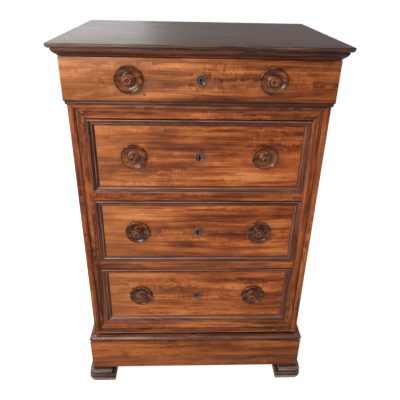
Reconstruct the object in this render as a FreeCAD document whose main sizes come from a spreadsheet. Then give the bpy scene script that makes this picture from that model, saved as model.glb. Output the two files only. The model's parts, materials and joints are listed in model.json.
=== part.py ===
import FreeCAD, Part
import math
import os
from types import SimpleNamespace

import Sketcher

# Tall chest of drawers: a frieze drawer over three framed drawers, on a plinth with moulded feet.
# Millimetres. +X is to the right, +Y to the back, +Z up. The origin is on the floor, under the
# middle of the chest: halfway between its sides, and between the front of its feet and its back.

SIZES = [
    # carcass
    ("bodyWidth", 680, "across the side boards"),
    ("bodyDepth", 498, "from the plane of the border strip to the back"),
    ("sideThickness", 17, "side boards, and the border strip that covers their front edges"),
    ("backThickness", 12, "back"),
    ("backFrame", 70, "stiles and rails of the back"),
    ("backRecess", 4, "panels of the back, in from its frame"),
    ("bottomThickness", 17, "carcass bottom board"),
    # plinth and feet
    ("footHeight", 50, "floor to plinth"),
    ("footReach", 32.5, "foot in front of the body plane"),
    ("footWidth", 93, "foot along the front"),
    ("footDepth", 90, "foot from front to back"),
    ("backFootDepth", 72, "back foot from front to back"),
    ("footCorner", 27, "round of the outer front corner"),
    ("footSlab", 13, "height of the bottom slab"),
    ("footSlabRound", 5.5, "round of the slab's edges"),
    ("footHollow", 6, "height of the hollow above the slab"),
    ("footHollowSetback", 7, "hollow behind the slab's edge"),
    ("footRing", 10, "height of the broad ring above the hollow"),
    ("footRingSetback", 2, "broad ring behind the slab's edge"),
    ("footRingRound", 3, "round of the broad ring's edges"),
    ("footGroove", 3, "height of the groove above the broad ring"),
    ("footGrooveSetback", 8, "groove behind the slab's edge"),
    ("footBead", 7, "height of the bead under the neck"),
    ("footBeadSetback", 4.5, "bead behind the slab's edge"),
    ("footBeadRound", 2, "round of the bead's edges"),
    ("footNeckSetback", 14, "neck behind the slab's edge"),
    ("footInnerStep", 12, "bead in from the slab's inner end"),
    ("footInnerLedge", 3, "neck and groove in from the bead's inner end"),
    ("plinthHeight", 116, "plinth boards"),
    ("plinthThickness", 16, "plinth boards, applied to the body"),
    ("plinthMouldingHeight", 21, "round nose and quirk on the plinth"),
    ("plinthMouldingReach", 17, "nose in front of the body plane"),
    ("plinthNose", 16, "height of the round nose"),
    ("plinthNoseRise", 6.7, "nose in front of the quirk under it"),
    ("reveal", 5, "height of the shadow gap over the plinth moulding"),
    ("revealDepth", 3, "depth of the shadow gap"),
    ("plinthRailDepth", 25, "rail behind the plinth moulding"),
    ("plinthRailHeight", 45, "rail behind the plinth moulding"),
    # face frame
    ("borderThickness", 12, "border strip, front to back"),
    ("frameSetback", 3.5, "frame behind the border strip's face"),
    ("frameDepth", 42, "stiles and rails, front to back"),
    ("stileWidth", 24.5, "stiles"),
    ("frameRailHeight", 30, "top and bottom rails of the frame"),
    ("railHeight", 26.5, "rails between drawers"),
    ("railTenon", 16, "length of the rails' tenons"),
    ("tenonShoulder", 14, "tenons in from the front and back of a rail"),
    ("tenonCheek", 4, "tenons in from the top and bottom of a rail"),
    ("tenonPlay", 0.2, "play of a tenon in its mortise"),
    ("openingHeight", 217.5, "each framed drawer opening"),
    # frieze and top
    ("friezeRailHeight", 22, "rail under the frieze drawer"),
    ("friezeHeight", 109.5, "opening of the frieze drawer"),
    ("friezeReach", 7, "frieze in front of the body plane"),
    ("coveHeight", 13, "cove under the frieze"),
    ("topMouldingHeight", 20, "moulding under the top board, and carcass top"),
    ("topMouldingReach", 20, "moulding in front of the body plane"),
    ("topMouldingFoot", 7.5, "flat at the moulding's foot, in front of the body plane"),
    ("topMouldingFlat", 2.5, "height of that flat"),
    ("topMouldingRise", 1.7, "ovolo off its chord"),
    ("topMouldingQuirk", 2.5, "height of the quirk over the ovolo"),
    ("topMouldingQuirkDepth", 1.5, "quirk behind the ovolo's edge"),
    ("topThickness", 12, "top board"),
    ("topReach", 28, "top board in front of the body plane"),
    ("topRound", 8, "round of the top board's lower edge"),
    ("topArris", 1.5, "round of the top board's upper edge"),
    # drawers
    ("frontThickness", 22, "front board of a framed drawer"),
    ("mouldingWidth", 18, "applied moulding"),
    ("mouldingDepth", 8.5, "applied moulding, front to back"),
    ("mouldingFillet", 3, "flat at the moulding's outer edge"),
    ("gapAbove", 1.7, "gap over a drawer front"),
    ("gapBelow", 0.4, "gap under a drawer"),
    ("gapBeside", 1, "gap beside a drawer"),
    ("gapBehind", 0.5, "gap behind the frieze drawer's front, and at the stops"),
    ("boxSpace", 32, "space between a drawer box and the back"),
    ("boxSide", 12, "drawer sides"),
    ("boxBack", 12, "drawer back"),
    ("boxBackInset", 10, "drawer back in from the ends of the sides"),
    ("boxBackDrop", 4, "drawer back below the top of the sides"),
    ("boxDrop", 6, "drawer sides below the top of the front"),
    ("boxBottom", 6, "drawer bottom panel"),
    ("bottomRise", 8, "bottom panel above the drawer's lower edge"),
    ("groove", 4, "depth of the grooves that hold the bottom and back"),
    ("grooveClearance", 0.2, "play of a panel in its groove"),
    ("tailLength", 16, "dovetails, front to back"),
    ("tailWidth", 24, "dovetail at its wide end"),
    ("tailFlare", 3, "narrowing of a dovetail on each edge"),
    ("tailClearance", 0.1, "play of a dovetail in its socket"),
    ("housing", 8, "depth of the sliding dovetail behind the frieze drawer's front"),
    ("housingFlare", 1.5, "widening of that dovetail on each face"),
    # knobs and escutcheons
    ("knobSpacing", 361, "between the two knobs of a drawer"),
    ("knobRadius", 36, "knob rim"),
    ("knobRim", 7.5, "height of the rim"),
    ("knobRimWidth", 4.5, "width of the rim"),
    ("knobDish", 2.2, "height of the floor of the dish"),
    ("knobBoss", 20, "height of the boss"),
    ("knobBossRadius", 14.8, "boss at its bead"),
    ("knobRingRadius", 8.5, "ring on top of the boss"),
    ("tenonRadius", 9, "knob's tenon"),
    ("tenonClearance", 0.2, "play of the tenon in the drawer front"),
    ("escutcheonRadius", 14.5, "turned disc round the keyhole"),
    ("escutcheonHeight", 3, "turned disc, front to back"),
    ("keyholeRadius", 3.5, "round of the keyhole"),
    ("keyholeDrop", 10, "slot of the keyhole below its centre"),
    ("keyholeSlot", 4, "width of that slot"),
    # locks
    ("lockWidth", 64, "lock case"),
    ("lockHeight", 50, "lock case"),
    ("lockDepth", 9, "lock case"),
    ("lockClearance", 0.3, "play of the case in its recess, and of the bolt in its channel"),
    ("keyPinRadius", 1.6, "pin that a key turns on"),
    ("boltWidth", 14, "bolt"),
    ("boltThickness", 4, "bolt"),
    ("boltThrow", 8, "travel of the bolt"),
    ("boltTail", 15, "bolt below the keyhole"),
    ("coverThickness", 2, "back plate of the lock, over the case and the bolt's channel"),
    ("coverWidth", 26, "back plate over the channel"),
    # runners
    ("runnerWidth", 43, "runners, from the side boards inwards"),
    ("runnerHeight", 20, "runners"),
    ("guideHeight", 40, "guides on the runners"),
    ("stopWidth", 40, "stop blocks"),
    ("stopHeight", 6, "stop blocks"),
    ("stopDepth", 11, "stop blocks"),
    ("stopSpacing", 300, "between the two stop blocks of a drawer"),
]
TAIL_COUNT = 5
OVERCUT = 1  # how far a cutting tool runs past the face that it cuts
HALF_ARC = 1 - math.cos(math.pi / 4)  # rise of a quarter circle over its chord, per radius

doc = FreeCAD.newDocument("chest_of_drawers")


class Size:
    """A length held as a number and as the spreadsheet expression that gives it."""

    def __init__(self, text, value):
        self.text = text
        self.value = value

    def __add__(self, other):
        return combine(self, "+", other)

    def __radd__(self, other):
        return combine(other, "+", self)

    def __sub__(self, other):
        return combine(self, "-", other)

    def __rsub__(self, other):
        return combine(other, "-", self)

    def __mul__(self, other):
        return combine(self, "*", other)

    def __rmul__(self, other):
        return combine(other, "*", self)

    def __truediv__(self, other):
        return combine(self, "/", other)

    def __neg__(self):
        return combine(0, "-", self)


def as_size(length):
    """The length itself, or a plain number as a Size."""
    if isinstance(length, Size):
        return length
    return Size(f"({length})", float(length))


def combine(left, sign, right):
    """The Size of one sum, difference, product or quotient."""
    left = as_size(left)
    right = as_size(right)
    value = {
        "+": lambda: left.value + right.value,
        "-": lambda: left.value - right.value,
        "*": lambda: left.value * right.value,
        "/": lambda: left.value / right.value,
    }[sign]()
    return Size(f"({left.text} {sign} {right.text})", value)


def fill_sizes():
    """Write the driving dimensions into their sheet and return them by name."""
    sheet = doc.addObject("Spreadsheet::Sheet", "Sizes")
    sizes = SimpleNamespace()
    for row, (name, value, note) in enumerate(SIZES, 1):
        sheet.set(f"A{row}", name)
        sheet.set(f"B{row}", str(value))
        sheet.set(f"C{row}", note)
        sheet.setAlias(f"B{row}", name)
        setattr(sizes, name, Size(f"Sizes.{name}", float(value)))
    return sizes


s = fill_sizes()
levels = doc.addObject("Spreadsheet::Sheet", "Levels")
doc.recompute()


def level(name, size):
    """Keep a place that several pieces share as a formula in the sheet of levels."""
    row = len(levels.getUsedCells()) // 2 + 1
    levels.set(f"A{row}", name)
    levels.set(f"B{row}", "=" + size.text)
    levels.setAlias(f"B{row}", name)
    return Size(f"Levels.{name}", size.value)


# Places across, from the middle of the chest
side_out = level("sideOut", s.bodyWidth / 2)
side_in = level("sideIn", side_out - s.sideThickness)
opening_half = level("openingHalf", side_in - s.stileWidth)
box_out = level("boxOut", opening_half - s.gapBeside)
box_in = level("boxIn", box_out - s.boxSide)
panel_half = level("panelHalf", box_in + s.groove - s.grooveClearance)

# Places from front to back
body_y = level("bodyPlane", (s.footReach - s.bodyDepth) / 2)
back_y = level("backPlane", body_y + s.bodyDepth)
carcass_y = level("carcassFront", body_y + s.borderThickness)
frame_y = level("framePlane", body_y + s.frameSetback)
frame_back_y = level("frameBack", frame_y + s.frameDepth)
panel_y = level("panelPlane", frame_y + s.mouldingDepth)
frieze_y = level("friezePlane", body_y - s.friezeReach)
back_in_y = level("backInside", back_y - s.backThickness)
reveal_y = level("revealPlane", body_y + s.revealDepth)
box_end_y = level("boxEnd", back_in_y - s.boxSpace)

# Heights
plinth_top = level("plinthTop", s.footHeight + s.plinthHeight)
nose_top = level("plinthMouldingTop", plinth_top + s.plinthMouldingHeight)
border_z = level("borderBottom", nose_top + s.reveal)
frame_z = level("frameBottom", border_z + s.sideThickness)
lower_z = level("lowerOpening", frame_z + s.frameRailHeight)
middle_z = level("middleOpening", lower_z + s.openingHeight + s.railHeight)
upper_z = level("upperOpening", middle_z + s.openingHeight + s.railHeight)
frame_top_z = level("frameTop", upper_z + s.openingHeight + s.frameRailHeight)
frieze_z = level("friezeOpening", frame_top_z + s.friezeRailHeight)
carcass_top_z = level("carcassTop", frieze_z + s.friezeHeight)
board_z = level("topBoard", carcass_top_z + s.topMouldingHeight)
doc.recompute()

sub_parts = []


def bind(owner, where, size):
    """Tie one property of an object to a size."""
    owner.setExpression(where, as_size(size).text)


def place(owner, x, y, z):
    """Tie the three coordinates of an object's place to sizes."""
    for axis, size in zip("xyz", (x, y, z)):
        bind(owner, f"Placement.Base.{axis}", size)


def sub_part(label, shape):
    """Give a finished piece its name and list it for export."""
    shape.Label = label
    sub_parts.append(shape)
    return shape


def box(x, y, z):
    """A plain block between two sizes along each axis."""
    block = doc.addObject("Part::Box", "Block")
    place(block, x[0], y[0], z[0])
    for side, (low, high) in zip(("Length", "Width", "Height"), (x, y, z)):
        bind(block, side, as_size(high) - low)
    return block


def across(half):
    """A span that is centred on the middle of the chest."""
    return (-half, half)


def cylinder_y(radius, y, x, z):
    """A round bar along Y between two sizes."""
    bar = doc.addObject("Part::Cylinder", "Bar")
    bar.Placement.Rotation = FreeCAD.Rotation(FreeCAD.Vector(1, 0, 0), -90)
    bind(bar, "Radius", radius)
    bind(bar, "Height", as_size(y[1]) - y[0])
    place(bar, x, y[0], z)
    return bar


def cut(base, tools):
    """The base with all of the tools taken out of it."""
    together = doc.addObject("Part::MultiFuse", "Tools")
    together.Shapes = tools
    result = doc.addObject("Part::Cut", "Cut")
    result.Base = base
    result.Tool = together if len(tools) > 1 else tools[0]
    if len(tools) == 1:
        doc.removeObject(together.Name)
    return result


def fuse(shapes):
    """Several shapes as one."""
    result = doc.addObject("Part::MultiFuse", "Fusion")
    result.Shapes = shapes
    return result


def group(pieces):
    """Separate solids that share one name."""
    result = doc.addObject("Part::Compound", "Group")
    result.Links = pieces
    return result


def mirrored(source):
    """The same piece on the other side of the chest."""
    result = doc.addObject("Part::Mirroring", "Mirror")
    result.Source = source
    result.Normal = FreeCAD.Vector(1, 0, 0)
    return result


def new_sketch(body, plane):
    """A sketch on one of the body's own origin planes."""
    sketch = body.newObject("Sketcher::SketchObject", "Sketch")
    own_plane = [item for item in body.Origin.OriginFeatures if item.Role == plane][0]
    sketch.AttachmentSupport = [(own_plane, "")]
    sketch.MapMode = "FlatFace"
    return sketch


def arc_between(start, end, rise):
    """An arc that stands off its chord by rise, to the left where rise is positive."""
    run = end - start
    chord = run.Length
    radius = (chord * chord / 4 + rise * rise) / (2 * abs(rise))
    left = FreeCAD.Vector(-run.y, run.x, 0) / chord
    middle = (start + end) / 2
    centre = middle + left * (rise - math.copysign(radius, rise))
    first, last = (end, start) if rise > 0 else (start, end)
    circle = Part.Circle(centre, FreeCAD.Vector(0, 0, 1), radius)
    turn = [math.atan2(point.y - centre.y, point.x - centre.x) for point in (first, last)]
    if turn[1] <= turn[0]:
        turn[1] += 2 * math.pi
    return Part.ArcOfCircle(circle, turn[0], turn[1])


def draw(sketch, points):
    """A closed outline. A point's third item is the rise of the arc that arrives at it."""
    corners = [FreeCAD.Vector(as_size(p[0]).value, as_size(p[1]).value, 0) for p in points]
    ends = []
    for index, point in enumerate(points):
        start, end = corners[index - 1], corners[index]
        if len(point) == 2:
            edge = sketch.addGeometry(Part.LineSegment(start, end), False)
            ends.append((edge, 1, 2))
            continue
        rise = as_size(point[2])
        edge = sketch.addGeometry(arc_between(start, end, rise.value), False)
        ends.append((edge, 2, 1) if rise.value > 0 else (edge, 1, 2))
        run_x = as_size(point[0]) - points[index - 1][0]
        run_y = as_size(point[1]) - points[index - 1][1]
        size = rise if rise.value > 0 else -rise
        radius = (run_x * run_x + run_y * run_y) / 8 / size + size / 2
        held = sketch.addConstraint(Sketcher.Constraint("Radius", edge, radius.value))
        sketch.setExpression(f"Constraints[{held}]", radius.text)
    for index, point in enumerate(points):
        before, after = ends[index], ends[(index + 1) % len(points)]
        sketch.addConstraint(
            Sketcher.Constraint("Coincident", before[0], before[2], after[0], after[1]))
        for kind, size in zip(("DistanceX", "DistanceY"), point[:2]):
            held = sketch.addConstraint(
                Sketcher.Constraint(kind, -1, 1, before[0], before[2], as_size(size).value))
            sketch.setExpression(f"Constraints[{held}]", as_size(size).text)


def pad(body, sketch, length, reverse=False):
    """Grow a sketch by a length."""
    grown = body.newObject("PartDesign::Pad", "Pad")
    grown.Profile = (sketch, [""])
    grown.Reversed = reverse
    bind(grown, "Length", length)
    return grown


def prism(plane, points, length, reverse=False):
    """A body of constant section."""
    body = doc.addObject("PartDesign::Body", "Prism")
    sketch = new_sketch(body, plane)
    draw(sketch, points)
    pad(body, sketch, length, reverse)
    return body


def turned(points):
    """A body turned about the Y axis from an outline in Y and radius."""
    body = doc.addObject("PartDesign::Body", "Turned")
    sketch = new_sketch(body, "YZ_Plane")
    draw(sketch, points)
    turning = body.newObject("PartDesign::Revolution", "Turning")
    turning.Profile = (sketch, [""])
    turning.ReferenceAxis = (sketch, ["H_Axis"])
    turning.Angle = 360
    return body


def mitred_strip(section, length, depth, mitre_plane, ends):
    """A strip along X from 0 to length, its longest line outermost, mitred at the ends named.

    The section is drawn in Y and Z. On the XY plane the mitres cut back a strip whose outer face
    is at -Y; on the XZ plane they cut back one whose outer edge is at Z = 0 and faces up.
    """
    body = prism("YZ_Plane", section, length)
    for end in ends:
        sketch = new_sketch(body, mitre_plane)
        outer = as_size(-depth) if mitre_plane == "XY_Plane" else as_size(0)
        inward = 1 if mitre_plane == "XY_Plane" else -1
        past_out = outer - inward * OVERCUT
        past_in = outer + inward * (depth + OVERCUT)
        tip, root = (-OVERCUT, depth + OVERCUT)
        if end == "stop":
            tip, root = (length + OVERCUT, length - depth - OVERCUT)
        draw(sketch, [(tip, past_out), (root, past_in), (tip, past_in)])
        mitre = body.newObject("PartDesign::Pocket", "Mitre")
        mitre.Profile = (sketch, [""])
        mitre.SideType = "Symmetric"
        mitre.Type = "ThroughAll"
    return body


def turn_about(owner, axis, angle):
    """Turn an object about an axis through its own origin."""
    owner.Placement.Rotation = FreeCAD.Rotation(FreeCAD.Vector(*axis), angle)


def skirting(section, reach, z):
    """Front, left and right lengths of a moulding round the body, mitred at the front corners."""
    front = mitred_strip(section, s.bodyWidth + 2 * reach, reach, "XY_Plane", ("start", "stop"))
    place(front, -side_out - reach, body_y, z)
    left = mitred_strip(section, s.bodyDepth + reach, reach, "XY_Plane", ("stop",))
    turn_about(left, (0, 0, 1), -90)
    place(left, -side_out, back_y, z)
    right = mitred_strip(section, s.bodyDepth + reach, reach, "XY_Plane", ("start",))
    turn_about(right, (0, 0, 1), 90)
    place(right, side_out, body_y - reach, z)
    return group([front, left, right])


def mitred_ring(section, width, half, y, z):
    """Four strips round an upright rectangle: top, right, bottom and left."""
    strips = []
    bottom, top = z
    long_way = {0: (2 * half, (-half, y, top)), 90: (top - bottom, (half, y, top)),
                180: (2 * half, (half, y, bottom)), 270: (top - bottom, (-half, y, bottom))}
    for angle, (length, corner) in long_way.items():
        strip = mitred_strip(section, length, width, "XZ_Plane", ("start", "stop"))
        turn_about(strip, (0, 1, 0), angle)
        place(strip, *corner)
        strips.append(strip)
    return group(strips)


def make_carcass():
    """Side boards, back, bottom, carcass top and the rails behind the mouldings."""
    shadow_gap = [(reveal_y, border_z), (reveal_y, nose_top), (body_y, nose_top)]
    outline = [
        (body_y, s.footHeight), (back_y, s.footHeight), (back_y, carcass_top_z),
        (carcass_y, carcass_top_z), (carcass_y, border_z)] + shadow_gap
    for label, inner in (("side_left", -side_out), ("side_right", side_in)):
        board = prism("YZ_Plane", outline, s.sideThickness)
        place(board, inner, 0, 0)
        sub_part(label, board)
    inside = across(side_in)
    panels = []
    for low, high in ((s.backFrame - side_in, -s.backFrame / 2), (s.backFrame / 2, side_in - s.backFrame)):
        for bottom, top in ((border_z, upper_z), (upper_z + s.backFrame, carcass_top_z - s.backFrame)):
            panels.append(box((low, high), (back_y - s.backRecess, back_y + OVERCUT), (bottom, top)))
    back = box(inside, (back_in_y, back_y), (s.footHeight, carcass_top_z))
    sub_part("back_panel", cut(back, panels))
    sub_part("bottom_board", box(
        inside, (carcass_y, back_in_y), (border_z, border_z + s.bottomThickness)))
    rail_back, rail_z = body_y + s.plinthRailDepth, border_z - s.plinthRailHeight
    section = [(body_y, rail_z), (rail_back, rail_z), (rail_back, border_z)] + shadow_gap
    rail = prism("YZ_Plane", section, 2 * side_in)
    place(rail, -side_in, 0, 0)
    sub_part("plinth_rail", rail)
    sub_part("frieze_rail", box(inside, (carcass_y, frame_back_y), (frame_top_z, frieze_z)))
    frieze_back = frieze_back_y()
    top = box(across(side_out), (body_y, back_y), (carcass_top_z, board_z))
    sub_part("carcass_top", cut(top, [bolt_mortise(frieze_back, carcass_top_z)]))


def frieze_back_y():
    """Back face of the frieze drawer's front."""
    return carcass_y - s.gapBehind


def bolt_span_y(front_back):
    """Front and back of a bolt, behind the lock's back plate."""
    bolt_back = front_back - s.coverThickness - s.lockClearance
    return (bolt_back - s.boltThickness, bolt_back)


def loose(span):
    """A span with the lock's clearance added at both ends."""
    return (span[0] - s.lockClearance, span[1] + s.lockClearance)


def bolt_mortise(front_back, z):
    """Room for a thrown bolt in the underside of what is above its drawer."""
    x = loose(across(s.boltWidth / 2))
    return box(x, loose(bolt_span_y(front_back)), (z - OVERCUT, z + s.boltThrow))


def rail_tenons(top, play):
    """The tenons at both ends of a rail between drawers, or with some play, their mortises."""
    reach = opening_half + s.railTenon + play
    y = (frame_y + s.tenonShoulder - play, frame_back_y - s.tenonShoulder + play)
    z = (top - s.railHeight + s.tenonCheek - play, top - s.tenonCheek + play)
    return box(across(reach), y, z)


def make_frame():
    """Face frame with mitred corners, the rails between the drawers and the border strip."""
    front_back = panel_y + s.frontThickness
    deep = (frame_y, frame_back_y)
    rails = {"lower_rail": middle_z, "upper_rail": upper_z}
    for label, top in rails.items():
        bar = box(across(opening_half), deep, (top - s.railHeight, top))
        tenons = rail_tenons(top, as_size(0))
        sub_part(label, cut(fuse([bar, tenons]), [bolt_mortise(front_back, top - s.railHeight)]))
    outer = [(-side_in, frame_z), (side_in, frame_z), (side_in, frame_top_z), (-side_in, frame_top_z)]
    low, high = frame_z + s.frameRailHeight, frame_top_z - s.frameRailHeight
    inner = [(-opening_half, low), (opening_half, low), (opening_half, high), (-opening_half, high)]
    for index, label in enumerate(("frame_bottom", "frame_right", "frame_top", "frame_left")):
        after = (index + 1) % 4
        member = prism("XZ_Plane", [outer[index], outer[after], inner[after], inner[index]],
                       s.frameDepth, reverse=True)
        place(member, 0, frame_y, 0)
        if label == "frame_top":
            member = cut(member, [bolt_mortise(front_back, high)])
        if label in ("frame_left", "frame_right"):
            member = cut(member, [rail_tenons(top, s.tenonPlay) for top in rails.values()])
        sub_part(label, member)
    strips = []
    outer = [(-side_out, border_z), (side_out, border_z), (side_out, frieze_z), (-side_out, frieze_z)]
    inner = [(-side_in, frame_z), (side_in, frame_z), (side_in, frame_top_z), (-side_in, frame_top_z)]
    for index in range(4):
        after = (index + 1) % 4
        strip = prism("XZ_Plane", [outer[index], outer[after], inner[after], inner[index]],
                      s.borderThickness, reverse=True)
        place(strip, 0, body_y, 0)
        strips.append(strip)
    sub_part("border_strip", group(strips))


def make_top():
    """Top board, the moulding under it, the frieze boards and the cove."""
    board = doc.addObject("PartDesign::Body", "TopBoard")
    sketch = new_sketch(board, "XY_Plane")
    half = side_out + s.topReach
    front = body_y - s.topReach
    draw(sketch, [(-half, front), (half, front), (half, back_y), (-half, back_y)])
    slab = pad(board, sketch, s.topThickness)
    doc.recompute()
    for name, height, radius in (("Round", 0, s.topRound), ("Arris", s.topThickness.value, s.topArris)):
        rounded = board.newObject("PartDesign::Fillet", name)
        rounded.Base = (slab, outer_edges(slab.Shape, height, back_y.value))
        bind(rounded, "Radius", radius)
        doc.recompute()
        slab = rounded
    place(board, 0, 0, board_z)
    sub_part("top_board", board)

    reach, high = s.topMouldingReach, s.topMouldingHeight
    quirk_y, quirk_z = s.topMouldingQuirkDepth - reach, high - s.topMouldingQuirk
    section = [
        (0, 0), (-s.topMouldingFoot, 0), (-s.topMouldingFoot, s.topMouldingFlat),
        (-reach, quirk_z, s.topMouldingRise), (quirk_y, quirk_z), (quirk_y, high), (0, high)]
    sub_part("top_moulding", skirting(section, reach, carcass_top_z))

    sides = []
    for low in (-side_out - s.friezeReach, side_out):
        sides.append(box((low, low + s.friezeReach), (carcass_y, back_y), (frieze_z, carcass_top_z)))
    sub_part("frieze_sides", group(sides))
    high, reach = s.coveHeight, s.friezeReach
    section = [
        (0, 0), (-reach * 0.1, 0), (-reach * 0.55, high * 0.62, high * 0.12),
        (-reach * 0.62, high * 0.72), (-reach, high * 0.9), (-reach, high), (0, high)]
    sub_part("frieze_cove", skirting(section, reach, frieze_z - high))


def outer_edges(shape, height, back):
    """Names of the straight edges at one height, apart from the one along the back."""
    names = []
    for index, edge in enumerate(shape.Edges, 1):
        bounds = edge.BoundBox
        flat = abs(bounds.ZMin - height) < 1e-6 and abs(bounds.ZMax - height) < 1e-6
        along_back = abs(bounds.YMin - back) < 1e-6
        if flat and not along_back:
            names.append(f"Edge{index}")
    return names


def make_plinth():
    """Plinth boards and the round-nosed moulding on them."""
    thick = s.plinthThickness
    section = [(0, 0), (-thick, 0), (-thick, s.plinthHeight), (0, s.plinthHeight)]
    sub_part("plinth_boards", skirting(section, thick, s.footHeight))
    reach, high = s.plinthMouldingReach, s.plinthMouldingHeight
    quirk_y = s.plinthNoseRise - reach
    section = [
        (0, 0), (quirk_y, 0), (quirk_y, high - s.plinthNose), (quirk_y, high, s.plinthNoseRise),
        (0, high)]
    sub_part("plinth_moulding", skirting(section, reach, plinth_top))


def foot_level(body, z, height, depth, setback, inner_setback, rounding):
    """One level of a foot, its outer front corner round, and with a rounding, its free edges too."""
    out_x = -side_out - s.footReach + setback
    in_x = -side_out - s.footReach + s.footWidth - inner_setback
    outer = s.footCorner - setback
    sketch = new_sketch(body, "XY_Plane")
    bind(sketch, "AttachmentOffset.Base.z", z)
    draw(sketch, [
        (out_x, depth), (out_x, setback + outer), (out_x + outer, setback, -outer * HALF_ARC),
        (in_x, setback), (in_x, depth)])
    block = pad(body, sketch, height)
    if rounding:
        doc.recompute()
        rounded = body.newObject("PartDesign::Fillet", "Round")
        edges = outer_edges(block.Shape, (z + height).value, depth.value)
        if z.value == 0:
            edges += outer_edges(block.Shape, 0, depth.value)
        rounded.Base = (block, edges)
        bind(rounded, "Radius", rounding)
        doc.recompute()


def foot(front_y, depth):
    """Left foot: slab, hollow, broad ring, groove, bead and neck, each with its own outline."""
    body = doc.addObject("PartDesign::Body", "Foot")
    none = as_size(0)
    bead_in = s.footInnerStep
    neck_in = bead_in + s.footInnerLedge
    neck_z = s.footSlab + s.footHollow + s.footRing + s.footGroove + s.footBead
    z = none
    for height, setback, inner_setback, rounding in (
            (s.footSlab, none, none, s.footSlabRound),
            (s.footHollow, s.footHollowSetback, s.footHollowSetback, None),
            (s.footRing, s.footRingSetback, s.footRingSetback, s.footRingRound),
            (s.footGroove, s.footGrooveSetback, neck_in, None),
            (s.footBead, s.footBeadSetback, bead_in, s.footBeadRound),
            (s.footHeight - neck_z, s.footNeckSetback, neck_in, None)):
        foot_level(body, z, height, depth, setback, inner_setback, rounding)
        z = z + height
    place(body, 0, front_y, 0)
    return body


def make_feet():
    """Two moulded feet at the front and two shorter ones at the back."""
    for label, front_y, depth in (
            ("front_feet", body_y - s.footReach, s.footDepth),
            ("back_feet", back_y - s.backFootDepth, s.backFootDepth)):
        left = foot(front_y, depth)
        sub_part(label, group([left, mirrored(left)]))


def make_runners():
    """Runner and guide on both sides of every drawer, and the stops of the framed ones."""
    along = (frame_back_y, back_in_y)
    runners, guides, stops = [], [], []
    for z in (lower_z, middle_z, upper_z, frieze_z):
        for inner, outer in ((side_in - s.runnerWidth, side_in), (-side_in, s.runnerWidth - side_in)):
            runners.append(box((inner, outer), along, (z - s.runnerHeight, z)))
        for inner, outer in ((opening_half, side_in), (-side_in, -opening_half)):
            guides.append(box((inner, outer), along, (z, z + s.guideHeight)))
    stop_y = panel_y + s.frontThickness + s.gapBehind
    for z in (lower_z, middle_z, upper_z):
        for middle in (-s.stopSpacing / 2, s.stopSpacing / 2):
            stops.append(box((middle - s.stopWidth / 2, middle + s.stopWidth / 2),
                             (stop_y, stop_y + s.stopDepth), (z, z + s.stopHeight)))
    sub_part("drawer_runners", group(runners))
    sub_part("drawer_guides", group(guides))
    sub_part("drawer_stops", group(stops))


def knob(tenon, x, y, z):
    """A turned knob with its tenon: dished, with a raised rim and a stepped boss."""
    radius, rim, boss = s.knobRadius, s.knobRim, s.knobBoss
    bead, ring, floor = s.knobBossRadius, s.knobRingRadius, s.knobDish
    body = turned([
        (tenon, 0), (tenon, s.tenonRadius), (0, s.tenonRadius), (0, radius - s.knobRimWidth / 3),
        (-rim * 0.65, radius), (-rim, radius - s.knobRimWidth / 2),
        (-rim * 0.6, radius - s.knobRimWidth), (-floor, bead * 1.2), (-boss * 0.5, bead * 0.86),
        (-boss * 0.7, bead), (-boss * 0.74, ring * 1.15), (-boss, ring),
        (-boss, ring * 0.6), (-boss * 0.78, ring * 0.4), (-boss * 0.78, 0)])
    place(body, x, y, z)
    return body


def keyhole(y, x, z):
    """The keyhole's shape as a cutting tool."""
    slot = box((x - s.keyholeSlot / 2, x + s.keyholeSlot / 2), y, (z - s.keyholeDrop, z))
    return fuse([cylinder_y(s.keyholeRadius, y, x, z), slot])


def escutcheon(y, z):
    """A turned disc with a raised rim, pierced by the keyhole."""
    radius, high = s.escutcheonRadius, s.escutcheonHeight
    disc = turned([
        (0, 0), (0, radius), (-high, radius * 0.9), (-high, radius * 0.8),
        (-high * 0.4, radius * 0.65), (-high * 0.4, 0)])
    place(disc, 0, y, z)
    return cut(disc, [keyhole((y - high - OVERCUT, y + OVERCUT), as_size(0), z)])


def tails(base_y, bottom, height, play):
    """Outlines in Y and Z of a row of dovetails that widen towards the front."""
    pitch = height / TAIL_COUNT
    rows = []
    for index in range(TAIL_COUNT):
        middle = bottom + pitch * (index + 0.5)
        wide = s.tailWidth / 2 - play
        narrow = wide - s.tailFlare
        tip = base_y - s.tailLength + play
        rows.append([(base_y, middle - narrow), (tip, middle - wide),
                     (tip, middle + wide), (base_y, middle + narrow)])
    return rows


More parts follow.
